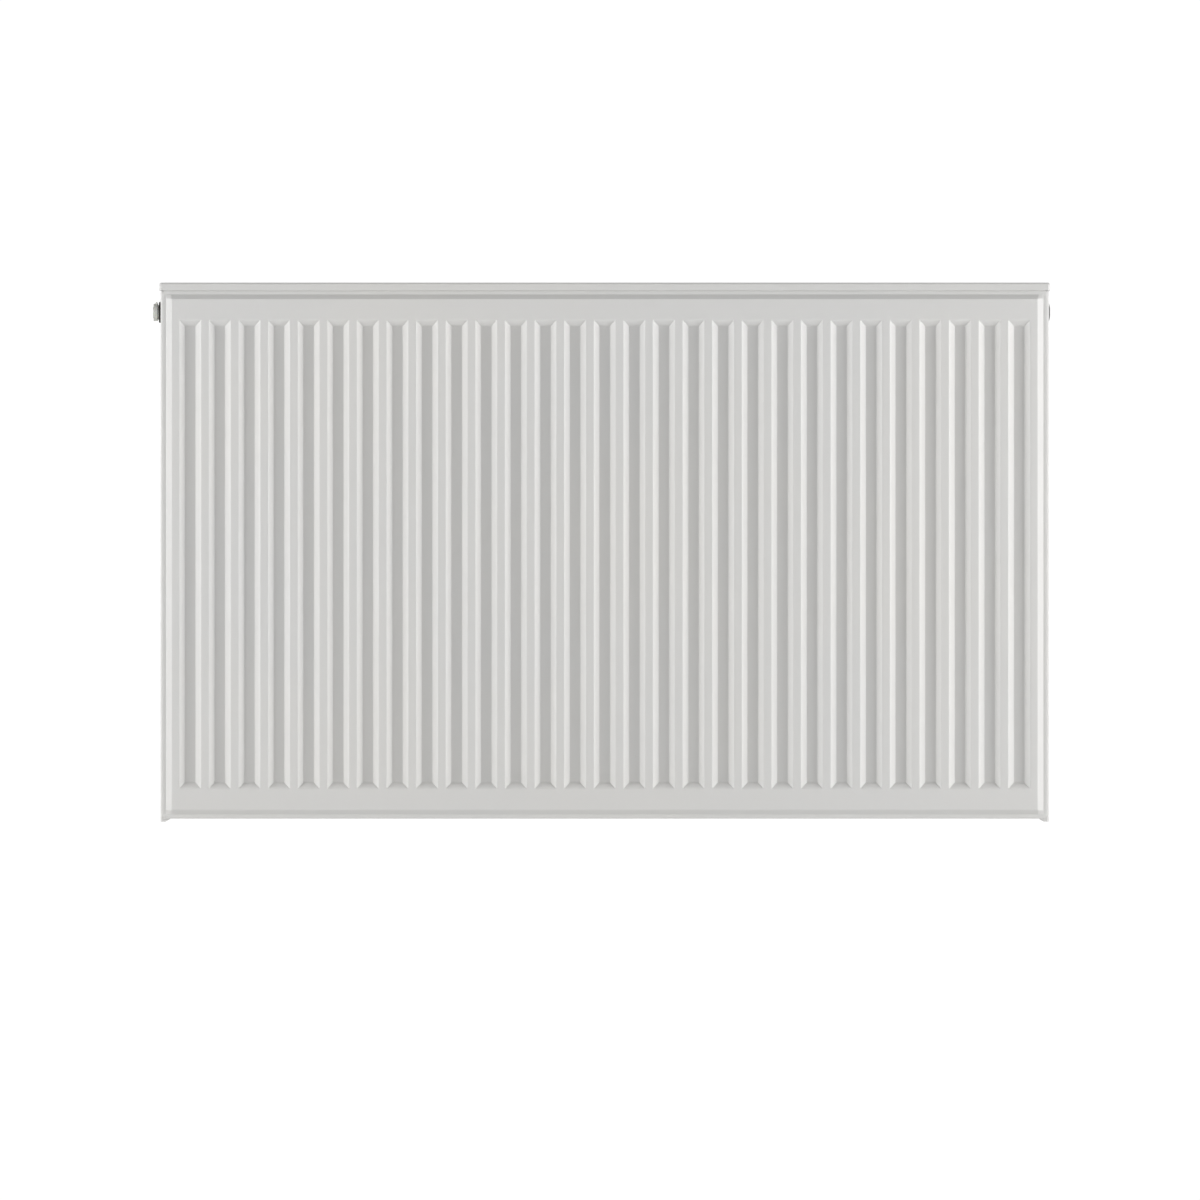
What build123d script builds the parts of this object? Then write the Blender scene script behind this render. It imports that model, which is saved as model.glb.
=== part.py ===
from build123d import *
import math
import os

os.makedirs("parts", exist_ok=True)

# Steel panel radiator with two water panels and two convectors, millimetres.
# X runs along the length, the room is towards -Y, the wall towards +Y.  The model is laid out
# with the panels' bottom edges at z = 0 and mid-depth at y = 0, then moved so that the origin
# lies on the back face, midway between the two upper hanging lugs, at their hook seats.

# overall
length = 1000.0             # over the side panels
panel_height = 595.2        # bottom weld edge to top weld edge of a water panel
depth = 100.0               # front face to back face of the two panels
channel_pitch = 100.0 / 3.0

# clearances
cover_gap = 0.35            # between a lift-off cover and what it covers
running_gap = 0.05          # radial, on turning parts
thread_gap = 0.05           # radial, screwed parts in their threads

# water panels, each two pressed sheets welded back to back
sheet = 1.25
press_depth = 6.0           # channels above the weld plane
flange_edge = 4.9           # flat weld flange along top and bottom
flange_end = 4.8            # flat weld flange at the ends
border_run_edge = 5.2       # slope from flange to face along top and bottom
border_run_end = 6.2        # slope from flange to face at the ends
groove_floor = 12.0
groove_run = 6.2            # slope at each side of a groove
groove_end_run = 6.8        # slope at the top and bottom of a groove
groove_margin = 33.8        # weld edge to the end of a groove
tee_land = 5.0              # flat of an inner sheet past its tee, before its grooves start
corner_cut = 3.5

# side panels
side_sheet = 1.2
side_lip = 10.0
side_bend = 1.5
foot_drop = 3.4             # lips reach this far below the panels
foot_cut_x = 4.5            # slanted inner corner of each lip's lower end
foot_cut_z = 2.6
side_hole_gap = 2.5         # round the tees
side_top_gap = 0.5          # below the grille's lip

# corner tees and tappings
tapping_edge = 25.0         # tapping centre to the panel's weld edge
tapping_radius = 9.5        # tapped G1/2 wall
tapping_length = 14.0
tapping_undercut = 1.1      # relief behind the thread
mouth_chamfer = 1.6
tee_branch_wall = 3.4       # outside the undercut
tee_run_wall = 3.0
tee_inset = 34.0            # tee's axis to the outside of the side panel
tee_recess = 1.0            # tapping's face below the outside of the side panel

# convectors
fin_sheet = 0.5
fin_gap = 9.0               # between the two convectors
fin_weld_flat = 9.0
fin_draft = 3.0             # sideways lean of one fin over its depth
fin_tee_gap = 6.0           # above and below, to the tees

# spacer straps between the panels, with a slot for the side panel's spring clip
spacer_sheet = 1.5
spacer_width = 26.0
spacer_foot = 4.0
clip_height = 312.0         # of the side clips, rivets and spacers

# side panel spring clips and rivets
clip_sheet = 0.5
clip_width = 10.0
clip_base = 4.2             # half the clip's base
clip_bulge = 6.0            # half the width over the snap bulges
clip_tip = 3.2              # half the width at the leg tips
clip_reach = 24.0           # leg tips to the outside of the side panel
clip_bulge_reach = 18.5
slot_gap = 0.4
rivet_head_radius = 5.6
rivet_head = 0.45
rivet_radius = 2.0
rivet_closing_radius = 3.2  # closing head on the inside of the clip

# hanging lugs on the rear panel
lug_sheet = 2.5
lug_side = 1.0              # past the two ridges that it is welded to
lug_foot = 22.0
lug_throat = 8.0            # back face to the lug's tongue
lug_tongue = 18.0
lug_bend = 3.0
lug_edge = 84.0             # hook seat to the panel's top edge, upper pair
lug_edge_lower = 62.0       # hook seat to the panel's bottom edge, lower pair
lug_channel = 4             # grooves in from each end

# top grille
grille_sheet = 1.0
grille_rise = 8.3           # grille top above the panels' top edges
grille_lip = 8.9
grille_overhang = 1.4       # past the side panels
grille_corner = 2.4
grille_bend = 1.8
slot_pitch = 10.0
slot_width = 6.0
slot_edge = 9.5             # solid strips along the front and the back
slot_rib = 6.0              # solid rib between the two rows
slot_end_margin = 14.0
grille_clip_sheet = 0.6
grille_clip_width = 20.0
grille_clip_pad = 14.0
grille_clip_spread = 300.0  # clips to mid-length

# air vent, left end
vent_seal_land = 0.7        # seal's seat round the tapping's mouth
vent_seal = 3.1
vent_seal_edge = 0.93
vent_collar_radius = 8.4
vent_collar = 1.1
spout_radius = 9.75
spout_width = 5.0
spout_edge = 0.8
spout_axial_gap = 0.1
hub_radius = 6.0
hub_rim = 0.35
hub_rim_radius = 6.5
nozzle_radius = 0.9
nozzle_bore = 0.45
nozzle_rise = 1.9
nozzle_offset = 1.5         # nozzle's axis to the spout's inner face
vent_shank_length = 11.0
vent_shank_bore = 2.9       # water side opening below the bleed screw
bleed_recess_radius = 4.6
bleed_thread_radius = 3.0
bleed_thread_length = 9.0
bleed_square = 5.0
bleed_square_length = 4.2
bleed_tip = 2.0
bleed_tip_radius = 1.2
bleed_ring_width = 1.2
bleed_ring_groove = 2.2
bleed_ring_place = 2.5      # behind the recess floor

# blank plug, right end
plug_land = 0.25            # head's seat round the tapping's mouth
plug_dome = 2.0
plug_shank_length = 10.0
plug_bore = 6.5
plug_key = 8.0              # across flats of the key socket
plug_key_depth = 4.0
plug_floor = 2.5            # under the key socket
plug_ring_wire = 0.45

# sizes and places worked out from the ones above
panel_length = length - 2 * (side_sheet + cover_gap)
panel_thick = 2 * (sheet + press_depth)
weld_y = depth / 2 - panel_thick / 2
raised_inner_y = weld_y - panel_thick / 2
flange_outer_y = weld_y + sheet
flange_inner_y = weld_y - sheet
channel_count = round(length / channel_pitch)
groove_count = channel_count - 1
ridge = channel_pitch - groove_floor - 2 * groove_run
end_x = length / 2
tapping_relief = tapping_radius + tapping_undercut
tee_radius = tapping_relief + tee_branch_wall
tee_bore = tee_radius - tee_run_wall
vent_seal_radius = tapping_radius + mouth_chamfer + vent_seal_land
plug_radius = tapping_radius + mouth_chamfer + plug_land
inner_groove_margin = tapping_edge + tee_radius + tee_land
fin_margin = tapping_edge + tee_radius + fin_tee_gap
fin_depth = raised_inner_y - fin_gap / 2
lug_width = channel_pitch + ridge + 2 * lug_side
tee_x = end_x - tee_inset
tapping_face_x = end_x - tee_recess
upper_z = panel_height - tapping_edge
lower_z = tapping_edge
side_lip_y = flange_inner_y - cover_gap
inner_flange_end = panel_length / 2 - (end_x - side_lip - cover_gap)
end_ridge_x = panel_length / 2 - inner_flange_end - border_run_end
grille_top_z = panel_height + grille_rise
grille_y = flange_outer_y + cover_gap + grille_sheet
grille_clip_leg = flange_edge - 2 * cover_gap    # stops above the slope under the weld flange
slot_long = grille_y - slot_edge - slot_rib / 2
side_top_z = grille_top_z - grille_lip - side_top_gap
hook_z = panel_height - lug_edge
lower_hook_z = lug_edge_lower
lug_x = length / 2 - lug_channel * channel_pitch
row_origin = Pos(0, -depth / 2, -hook_z)


def channel_places(first, last):
    middle = (channel_count - 1) / 2
    return [(i - middle) * channel_pitch for i in range(first, last)]


def tapered_block(width, height, run_x, run_y, rise):
    # width and height at the base; the top is smaller by the runs
    base = Rectangle(width, height)
    top = Pos(0, 0, rise) * Rectangle(width - 2 * run_x, height - 2 * run_y)
    return loft([base, top])


def relief(end_flange, margin):
    # the raised face with its grooves, from the weld plane up
    block = tapered_block(
        panel_length - 2 * end_flange,
        panel_height - 2 * flange_edge,
        border_run_end,
        border_run_edge,
        press_depth,
    )
    groove_length = panel_height - 2 * margin
    slope_x = groove_run / press_depth
    slope_y = groove_end_run / press_depth
    over = 0.5
    tool = loft([
        Pos(0, 0, -over) * Rectangle(groove_floor - 2 * over * slope_x,
                                     groove_length - 2 * groove_end_run - 2 * over * slope_y),
        Pos(0, 0, press_depth + over) * Rectangle(groove_floor + 2 * groove_run + 2 * over * slope_x,
                                                  groove_length + 2 * over * slope_y),
    ])
    places = [x + channel_pitch / 2 for x in channel_places(0, groove_count)]
    return block - [Pos(x, 0, 0) * tool for x in places]


def pressed_sheet(end_flange, margin):
    # one sheet, lying on the weld plane z = 0 and pressed towards +Z
    face = relief(end_flange, margin)
    blank = Box(panel_length, panel_height, sheet, align=(Align.CENTER, Align.CENTER, Align.MIN))
    blank = chamfer(blank.edges().filter_by(Axis.Z), corner_cut)
    return blank + Pos(0, 0, sheet) * face - face


def stand_sheet(flat, weld_plane_y, outward):
    stand = Plane(origin=(0, weld_plane_y, panel_height / 2), x_dir=(-outward, 0, 0), z_dir=(0, outward, 0))
    return stand * flat


def make_inner_sheet():
    flat = pressed_sheet(inner_flange_end, inner_groove_margin)
    for x in (-tee_x, tee_x):
        for z in (lower_z, upper_z):
            flat -= Pos(x, z - panel_height / 2, press_depth) * Cylinder(tee_bore, 4 * sheet)
    return flat


def bent_strip(points, bend, thickness, width, width_direction):
    # a flat strip of even thickness, bent along a path through its middle
    path = FilletPolyline(*points, radius=bend) if bend else Polyline(*points)
    start = Plane(origin=path @ 0, x_dir=width_direction, z_dir=path % 0)
    return sweep(start * Rectangle(width, thickness), path=path)


def mirrored(piece):
    return mirror(piece, about=Plane.YZ)


def wave_path(offset):
    # the convector's section at a distance from its middle line, as (x, y) from the weld flats
    half_flat = fin_weld_flat / 2
    rise = fin_depth - fin_sheet
    lean = math.atan2(fin_draft, rise)
    shift = offset * math.tan((math.pi / 2 - lean) / 2)
    low = fin_sheet / 2 + offset
    high = low + rise
    ridges = channel_places(1, channel_count - 1)
    points = [(ridges[0] - half_flat, low)]
    for left, right in zip(ridges, ridges[1:]):
        points.append((left + half_flat - shift, low))
        points.append((left + half_flat + fin_draft - shift, high))
        points.append((right - half_flat - fin_draft + shift, high))
        points.append((right - half_flat + shift, low))
    points.append((ridges[-1] + half_flat, low))
    return points


def make_convector():
    # welded to the ridges at y = 0, fins towards +Y
    outline = wave_path(fin_sheet / 2) + wave_path(-fin_sheet / 2)[::-1]
    section = make_face(Polyline(*outline, close=True))
    return Pos(0, 0, fin_margin) * extrude(section, amount=panel_height - 2 * fin_margin)


def along_x(radius, start, end, z=0.0):
    # a round bar along X between two x values
    place = Pos((start + end) / 2, 0, z) * Rot(0, 90, 0)
    return place * Cylinder(radius, abs(end - start))


def cone_along_x(radius_start, radius_end, start, end, z=0.0):
    # wider or narrower towards +X, start below end
    place = Pos((start + end) / 2, 0, z) * Rot(0, 90, 0)
    return place * Cone(radius_start, radius_end, end - start)


def domed_disc(radius, rise, x, z=0.0):
    # flat face at x, spherical face towards +X
    ball_radius = (radius ** 2 + rise ** 2) / (2 * rise)
    half_turn = math.asin(radius / ball_radius) / 2
    middle = (x + rise - ball_radius * (1 - math.cos(half_turn)), ball_radius * math.sin(half_turn))
    arc = ThreePointArc((x + rise, 0), middle, (x, radius))
    section = make_face([Line((x, 0), (x + rise, 0)), arc, Line((x, radius), (x, 0))])
    return Pos(0, 0, z) * revolve(section, Axis.X)


def make_tee(z):
    # right-hand tee: a tube across the radiator with a tapped branch towards +X
    run = Pos(tee_x, 0, z) * Rot(90, 0, 0) * Cylinder(tee_radius, 2 * raised_inner_y)
    bore = Pos(tee_x, 0, z) * Rot(90, 0, 0) * Cylinder(tee_bore, 2 * raised_inner_y)
    branch = along_x(tee_radius, tee_x, tapping_face_x, z)
    thread_start = tapping_face_x - mouth_chamfer - tapping_length
    thread = along_x(tapping_radius, thread_start, tapping_face_x, z)
    undercut = along_x(tapping_relief, tee_x, thread_start, z)
    mouth = cone_along_x(tapping_radius, tapping_radius + mouth_chamfer,
                         tapping_face_x - mouth_chamfer, tapping_face_x, z)
    return run + branch - bore - thread - undercut - mouth


def make_side_panel():
    # right-hand side panel: web with a lip turned in at front and back
    outer_y = side_lip_y - side_sheet / 2
    web_x = end_x - side_sheet / 2
    lip_x = end_x - side_lip
    height = side_top_z + foot_drop
    middle_z = (side_top_z - foot_drop) / 2
    points = [(lip_x, -outer_y, middle_z), (web_x, -outer_y, middle_z),
              (web_x, outer_y, middle_z), (lip_x, outer_y, middle_z)]
    panel = bent_strip(points, side_bend, side_sheet, height, (0, 0, 1))
    corner = make_face(Polyline((lip_x, -foot_drop), (lip_x + foot_cut_x, -foot_drop),
                                (lip_x, foot_cut_z - foot_drop), close=True))
    panel -= extrude(Plane.XZ * corner, amount=depth, both=True)
    for z in (lower_z, upper_z):
        panel -= along_x(tee_radius + side_hole_gap, end_x - side_lip, end_x + side_lip, z)
    return panel - along_x(rivet_radius, end_x - side_lip, end_x + side_lip, clip_height)


def make_side_rivet():
    # domed head outside, shank through the side panel and the clip
    head = domed_disc(rivet_head_radius, rivet_head, end_x, clip_height)
    inside = end_x - side_sheet - clip_sheet
    shank = along_x(rivet_radius, inside, end_x, clip_height)
    closing_head = along_x(rivet_closing_radius, inside - clip_sheet, inside, clip_height)
    return head + shank + closing_head


def make_side_clip():
    # spring strip: base on the web, two legs that snap through the spacer's slot
    base_x = end_x - side_sheet - clip_sheet / 2
    points = [(end_x - clip_reach, -clip_tip, clip_height),
              (end_x - clip_bulge_reach, -clip_bulge, clip_height),
              (base_x, -clip_base, clip_height), (base_x, clip_base, clip_height),
              (end_x - clip_bulge_reach, clip_bulge, clip_height),
              (end_x - clip_reach, clip_tip, clip_height)]
    clip = bent_strip(points, clip_sheet, clip_sheet, clip_width, (0, 0, 1))
    return clip - along_x(rivet_radius, base_x - clip_sheet, end_x, clip_height)


def make_spacer():
    # right-hand strap across the gap, its feet welded to the end ridges
    web_x = end_ridge_x - spacer_sheet / 2
    foot_y = raised_inner_y - spacer_sheet / 2
    points = [(web_x - spacer_foot, -foot_y, clip_height), (web_x, -foot_y, clip_height),
              (web_x, foot_y, clip_height), (web_x - spacer_foot, foot_y, clip_height)]
    strap = bent_strip(points, spacer_sheet, spacer_sheet, spacer_width, (0, 0, 1))
    opening = Box(4 * spacer_sheet,
                  2 * (clip_bulge + clip_sheet / 2 + slot_gap),
                  clip_width + 2 * slot_gap)
    return strap - Pos(web_x, 0, clip_height) * opening


def make_lug(x, z):
    # foot welded over two ridges, shelf out from the back face, tongue down behind the bracket
    foot_y = depth / 2 + lug_sheet / 2
    tongue_y = depth / 2 + lug_throat + lug_sheet / 2
    shelf_z = z + lug_sheet / 2
    points = [(x, foot_y, shelf_z + lug_foot), (x, foot_y, shelf_z),
              (x, tongue_y, shelf_z), (x, tongue_y, shelf_z - lug_tongue)]
    return bent_strip(points, lug_bend, lug_sheet, lug_width, (1, 0, 0))


def shell_block(inset):
    # the grille's outside, or its inside when inset by the sheet
    block = Box(length + 2 * grille_overhang - 2 * inset, 2 * (grille_y - inset), grille_lip,
                align=(Align.CENTER, Align.CENTER, Align.MAX))
    block = fillet(block.edges().filter_by(Axis.Z), grille_corner - inset)
    return fillet(block.edges().group_by(Axis.Z)[-1], grille_bend - inset)


def make_grille():
    shell = shell_block(0.0) - Pos(0, 0, -grille_sheet) * shell_block(grille_sheet)
    columns = int((length - 2 * slot_end_margin) / slot_pitch)
    slot = extrude(Rot(0, 0, 90) * SlotOverall(slot_long, slot_width), amount=grille_lip, both=True)
    shell -= [place * slot for place in GridLocations(slot_pitch, slot_long + slot_rib, columns, 2)]
    return Pos(0, 0, grille_top_z) * shell


def make_grille_clips():
    # spring strips: pad under the grille, ledge over the weld flange, leg down its inner face
    half = grille_clip_sheet / 2
    pad_z = grille_top_z - grille_sheet - half
    ledge_z = panel_height + cover_gap + half
    drop_y = flange_outer_y - 2 * half
    leg_y = flange_inner_y - cover_gap - half
    clips = []
    for side in (-1, 1):
        for x in (-grille_clip_spread, grille_clip_spread):
            points = [(x, side * (drop_y - grille_clip_pad), pad_z), (x, side * drop_y, pad_z),
                      (x, side * drop_y, ledge_z), (x, side * leg_y, ledge_z),
                      (x, side * leg_y, panel_height - grille_clip_leg)]
            clips.append(bent_strip(points, half, grille_clip_sheet, grille_clip_width, (1, 0, 0)))
    return clips


# The vent and the plug are made on the X axis with x = 0 at the tapping's face and +X outwards.
seal_top = vent_seal
collar_top = seal_top + vent_collar
spout_start = collar_top + spout_axial_gap
spout_top = spout_start + spout_width
rim_start = spout_top + spout_axial_gap
hub_top = rim_start + hub_rim
recess_floor = seal_top
nozzle_x = spout_start + nozzle_offset
shank_radius = tapping_radius - thread_gap


def make_vent_body():
    shank = along_x(shank_radius, -vent_shank_length, 0)
    neck = along_x(vent_collar_radius, 0, collar_top)
    hub = along_x(hub_radius, collar_top, rim_start)
    rim = along_x(hub_rim_radius, rim_start, hub_top)
    body = shank + neck + hub + rim
    body -= along_x(bleed_recess_radius, recess_floor, hub_top)
    body -= along_x(bleed_thread_radius + thread_gap, recess_floor - bleed_thread_length - bleed_tip,
                    recess_floor)
    body -= along_x(vent_shank_bore, -vent_shank_length, 0)
    port = Pos(nozzle_x, 0, hub_radius) * Cylinder(nozzle_bore, 2 * (hub_radius - bleed_recess_radius) + 1)
    return body - port


def make_vent_seal():
    ring = along_x(vent_seal_radius, 0, vent_seal)
    ring = fillet(ring.edges().filter_by(GeomType.CIRCLE), vent_seal_edge)
    return ring - along_x(vent_collar_radius, 0, vent_seal)


def make_vent_spout():
    ring = along_x(spout_radius, spout_start, spout_top)
    ring = fillet(ring.edges().filter_by(GeomType.CIRCLE), spout_edge)
    nozzle = Pos(nozzle_x, 0, spout_radius - 1) * Cylinder(
        nozzle_radius, nozzle_rise + 1, align=(Align.CENTER, Align.CENTER, Align.MIN))
    bore = Pos(nozzle_x, 0, hub_radius) * Cylinder(
        nozzle_bore, spout_radius, align=(Align.CENTER, Align.CENTER, Align.MIN))
    return ring + nozzle - bore - along_x(hub_radius + running_gap, spout_start, spout_top)


def make_bleed_screw():
    square_start = recess_floor
    shank_end = square_start - bleed_thread_length
    square = Box(bleed_square_length, bleed_square, bleed_square, align=(Align.MIN, Align.CENTER, Align.CENTER))
    screw = Pos(square_start, 0, 0) * square + along_x(bleed_thread_radius, shank_end, square_start)
    screw += cone_along_x(bleed_tip_radius, bleed_thread_radius, shank_end - bleed_tip, shank_end)
    ring_start = recess_floor - bleed_ring_place - bleed_ring_width
    groove = along_x(bleed_thread_radius, ring_start, ring_start + bleed_ring_width)
    groove -= along_x(bleed_ring_groove, ring_start, ring_start + bleed_ring_width)
    return screw - groove


def make_bleed_ring():
    start = recess_floor - bleed_ring_place - bleed_ring_width + running_gap
    end = start + bleed_ring_width - 2 * running_gap
    return along_x(bleed_thread_radius, start, end) - along_x(bleed_ring_groove + running_gap, start, end)


def make_blank_plug():
    dome = domed_disc(plug_radius, plug_dome, tee_recess)
    plug = dome + along_x(plug_radius, 0, tee_recess) + along_x(shank_radius, -plug_shank_length, 0)
    floor = tee_recess + plug_dome - plug_key_depth
    key = extrude(RegularPolygon(plug_key / 2, 6, major_radius=False), amount=plug_key_depth)
    plug -= Pos(floor, 0, 0) * Rot(0, 90, 0) * key
    return plug - along_x(plug_bore, -plug_shank_length, floor - plug_floor)


def make_plug_ring():
    middle = shank_radius + plug_ring_wire + thread_gap
    return Pos(-plug_ring_wire - thread_gap, 0, 0) * Rot(0, 90, 0) * Torus(middle, plug_ring_wire)


def at_left_tapping(piece):
    return Pos(-tapping_face_x, 0, upper_z) * mirrored(piece)


def at_right_tapping(piece):
    return Pos(tapping_face_x, 0, upper_z) * piece


outer_sheet = pressed_sheet(flange_end, groove_margin)
inner_sheet = make_inner_sheet()
convector = make_convector()
nodes = {
    "front_outer_sheet": stand_sheet(outer_sheet, -weld_y, -1),
    "front_inner_sheet": stand_sheet(inner_sheet, -weld_y, 1),
    "rear_inner_sheet": stand_sheet(inner_sheet, weld_y, -1),
    "rear_outer_sheet": stand_sheet(outer_sheet, weld_y, 1),
    "front_convector": Pos(0, -raised_inner_y, 0) * convector,
    "rear_convector": Pos(0, raised_inner_y, 0) * mirror(convector, about=Plane.XZ),
    "tee_upper_left": mirrored(make_tee(upper_z)),
    "tee_upper_right": make_tee(upper_z),
    "tee_lower_left": mirrored(make_tee(lower_z)),
    "tee_lower_right": make_tee(lower_z),
    "spacer_left": mirrored(make_spacer()),
    "spacer_right": make_spacer(),
    "lug_upper_left": make_lug(-lug_x, hook_z),
    "lug_upper_right": make_lug(lug_x, hook_z),
    "lug_lower_left": make_lug(-lug_x, lower_hook_z),
    "lug_lower_right": make_lug(lug_x, lower_hook_z),
    "side_panel_left": mirrored(make_side_panel()),
    "side_panel_right": make_side_panel(),
    "side_clip_left": mirrored(make_side_clip()),
    "side_clip_right": make_side_clip(),
    "side_rivet_left": mirrored(make_side_rivet()),
    "side_rivet_right": make_side_rivet(),
    "top_grille": make_grille(),
    "grille_clips": Compound(children=make_grille_clips()),
    "vent_body": at_left_tapping(make_vent_body()),
    "vent_seal": at_left_tapping(make_vent_seal()),
    "vent_spout": at_left_tapping(make_vent_spout()),
    "bleed_screw": at_left_tapping(make_bleed_screw()),
    "bleed_ring": at_left_tapping(make_bleed_ring()),
    "blank_plug": at_right_tapping(make_blank_plug()),
    "plug_ring": at_right_tapping(make_plug_ring()),
}

for name, piece in nodes.items():
    export_step(row_origin * piece, f"parts/{name}.step")
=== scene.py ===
import bpy
import bmesh
import math
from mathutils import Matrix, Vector


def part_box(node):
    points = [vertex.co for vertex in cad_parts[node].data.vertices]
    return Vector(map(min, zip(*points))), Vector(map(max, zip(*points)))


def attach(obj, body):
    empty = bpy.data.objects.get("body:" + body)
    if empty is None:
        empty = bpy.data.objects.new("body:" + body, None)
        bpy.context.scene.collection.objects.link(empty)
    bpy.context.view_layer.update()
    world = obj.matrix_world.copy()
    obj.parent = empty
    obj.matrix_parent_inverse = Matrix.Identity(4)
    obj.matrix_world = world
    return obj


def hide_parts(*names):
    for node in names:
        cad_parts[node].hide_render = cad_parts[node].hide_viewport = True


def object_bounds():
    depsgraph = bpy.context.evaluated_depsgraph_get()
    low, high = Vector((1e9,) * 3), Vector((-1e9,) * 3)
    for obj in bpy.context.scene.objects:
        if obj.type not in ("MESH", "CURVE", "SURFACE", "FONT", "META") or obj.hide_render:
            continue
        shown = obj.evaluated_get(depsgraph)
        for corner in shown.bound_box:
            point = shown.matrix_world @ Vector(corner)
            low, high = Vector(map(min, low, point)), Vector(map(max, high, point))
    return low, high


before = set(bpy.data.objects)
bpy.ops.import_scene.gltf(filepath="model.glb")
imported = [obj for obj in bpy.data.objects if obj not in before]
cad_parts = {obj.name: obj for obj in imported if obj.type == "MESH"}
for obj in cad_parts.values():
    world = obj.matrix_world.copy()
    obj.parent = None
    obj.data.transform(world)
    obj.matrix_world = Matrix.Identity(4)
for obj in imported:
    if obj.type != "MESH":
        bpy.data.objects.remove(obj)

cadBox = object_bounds()
scene = bpy.context.scene
mm = 0.001
mergeWithin = 0.01 * mm
print("frame loaded:", len(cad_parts), "nodes")


# small helpers for materials and node trees

def addNode(tree, kind, x=0, y=0, **settings):
    node = tree.nodes.new(kind)
    node.location = (x, y)
    for key, value in settings.items():
        setattr(node, key, value)
    return node


def newMaterial(name):
    material = bpy.data.materials.new(name)
    material.use_nodes = True
    tree = material.node_tree
    tree.nodes.clear()
    shader = addNode(tree, "ShaderNodeBsdfPrincipled", 400, 0)
    output = addNode(tree, "ShaderNodeOutputMaterial", 700, 0)
    tree.links.new(shader.outputs["BSDF"], output.inputs["Surface"])
    return material, tree, shader


def noiseOn(tree, scale, detail, roughness=0.5, stretch=(1, 1, 1), y=0):
    # noise in object space, stretched along an axis by a mapping
    place = addNode(tree, "ShaderNodeTexCoord", -900, y)
    mapping = addNode(tree, "ShaderNodeMapping", -700, y)
    mapping.inputs["Scale"].default_value = stretch
    noise = addNode(tree, "ShaderNodeTexNoise", -500, y)
    noise.inputs["Scale"].default_value = scale
    noise.inputs["Detail"].default_value = detail
    noise.inputs["Roughness"].default_value = roughness
    tree.links.new(place.outputs["Object"], mapping.inputs["Vector"])
    tree.links.new(mapping.outputs["Vector"], noise.inputs["Vector"])
    return noise.outputs["Fac"]


def blendColours(tree, factor, first, second):
    ramp = addNode(tree, "ShaderNodeValToRGB", -250, 300)
    ramp.color_ramp.interpolation = "EASE"
    ramp.color_ramp.elements[0].position = 0.3
    ramp.color_ramp.elements[1].position = 0.7
    ramp.color_ramp.elements[0].color = (*first, 1)
    ramp.color_ramp.elements[1].color = (*second, 1)
    tree.links.new(factor, ramp.inputs["Fac"])
    return ramp.outputs["Color"]


def spread(tree, factor, low, high):
    # maps a noise onto a range of values, without a crease where it is clipped
    node = addNode(tree, "ShaderNodeMapRange", -250, 0, interpolation_type="SMOOTHSTEP")
    node.inputs["From Min"].default_value = 0.3
    node.inputs["From Max"].default_value = 0.7
    node.inputs["To Min"].default_value = low
    node.inputs["To Max"].default_value = high
    tree.links.new(factor, node.inputs["Value"])
    return node.outputs["Result"]


def bumpFrom(tree, heights, shader, strength):
    # heights: (factor, depth in metres) pairs, from coarse to fine
    last = None
    for index, (factor, depth) in enumerate(heights):
        bump = addNode(tree, "ShaderNodeBump", 100, -400 - 200 * index)
        bump.inputs["Strength"].default_value = strength
        bump.inputs["Distance"].default_value = depth
        tree.links.new(factor, bump.inputs["Height"])
        if last:
            tree.links.new(last, bump.inputs["Normal"])
        last = bump.outputs["Normal"]
    tree.links.new(last, shader.inputs["Normal"])


# stove enamel over pressed steel: nearly even white, faint orange peel, a little uneven gloss
enamel = {
    "white": (0.745, 0.738, 0.718),
    "whiteCooler": (0.735, 0.732, 0.720),
    "toneScale": 5.0,
    "glossScale": 16.0,
    "glossLow": 0.285,
    "glossHigh": 0.305,
    "peelScale": 620,
    "peelDepth": 0.000004,
    "waveScale": 9,
    "waveDepth": 0.00004,
    "specular": 0.42,
}


def makeEnamel(name, settings, peel=1.0, tone=1.0):
    material, tree, shader = newMaterial(name)
    broad = noiseOn(tree, settings["toneScale"], 3, y=300)
    warm = tuple(tone * c for c in settings["white"])
    cool = tuple(tone * c for c in settings["whiteCooler"])
    tree.links.new(blendColours(tree, broad, warm, cool), shader.inputs["Base Color"])
    cloudy = noiseOn(tree, settings["glossScale"], 2)
    gloss = spread(tree, cloudy, settings["glossLow"], settings["glossHigh"])
    tree.links.new(gloss, shader.inputs["Roughness"])
    shader.inputs["Specular IOR Level"].default_value = settings["specular"]
    wave = noiseOn(tree, settings["waveScale"], 2, y=-300)
    orangePeel = noiseOn(tree, settings["peelScale"], 3, 0.6, y=-600)
    heights = [(wave, settings["waveDepth"]), (orangePeel, settings["peelDepth"] * peel)]
    bumpFrom(tree, heights, shader, 1.0)
    return material


# bright plated, drawn or turned metal: fine lines along one direction and a little tarnish; the blank
# plug's copy of nickel is darkened as painted shade
metals = {
    "nickel": {"dark": (0.40, 0.39, 0.37), "light": (0.58, 0.57, 0.54), "rough": (0.22, 0.38),
               "lineScale": 900, "stretch": (0.15, 1, 1)},
    # painted shade: nickel darkened far below its real brightness, so the domed plug reads mid grey as
    # if in shade
    "shadedPlugNickel": {"dark": (0.20, 0.20, 0.195), "light": (0.30, 0.30, 0.29), "rough": (0.30, 0.45),
                   "lineScale": 900, "stretch": (0.15, 1, 1)},
    "brass": {"dark": (0.45, 0.31, 0.12), "light": (0.72, 0.54, 0.25), "rough": (0.24, 0.42),
              "lineScale": 1200, "stretch": (0.15, 1, 1)},
    "spring": {"dark": (0.42, 0.43, 0.45), "light": (0.60, 0.61, 0.62), "rough": (0.28, 0.45),
               "lineScale": 700, "stretch": (1, 0.12, 1)},
}
metalGrain = {"stainScale": 260, "lineDepth": 0.00001, "lineStrength": 0.8}


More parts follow.
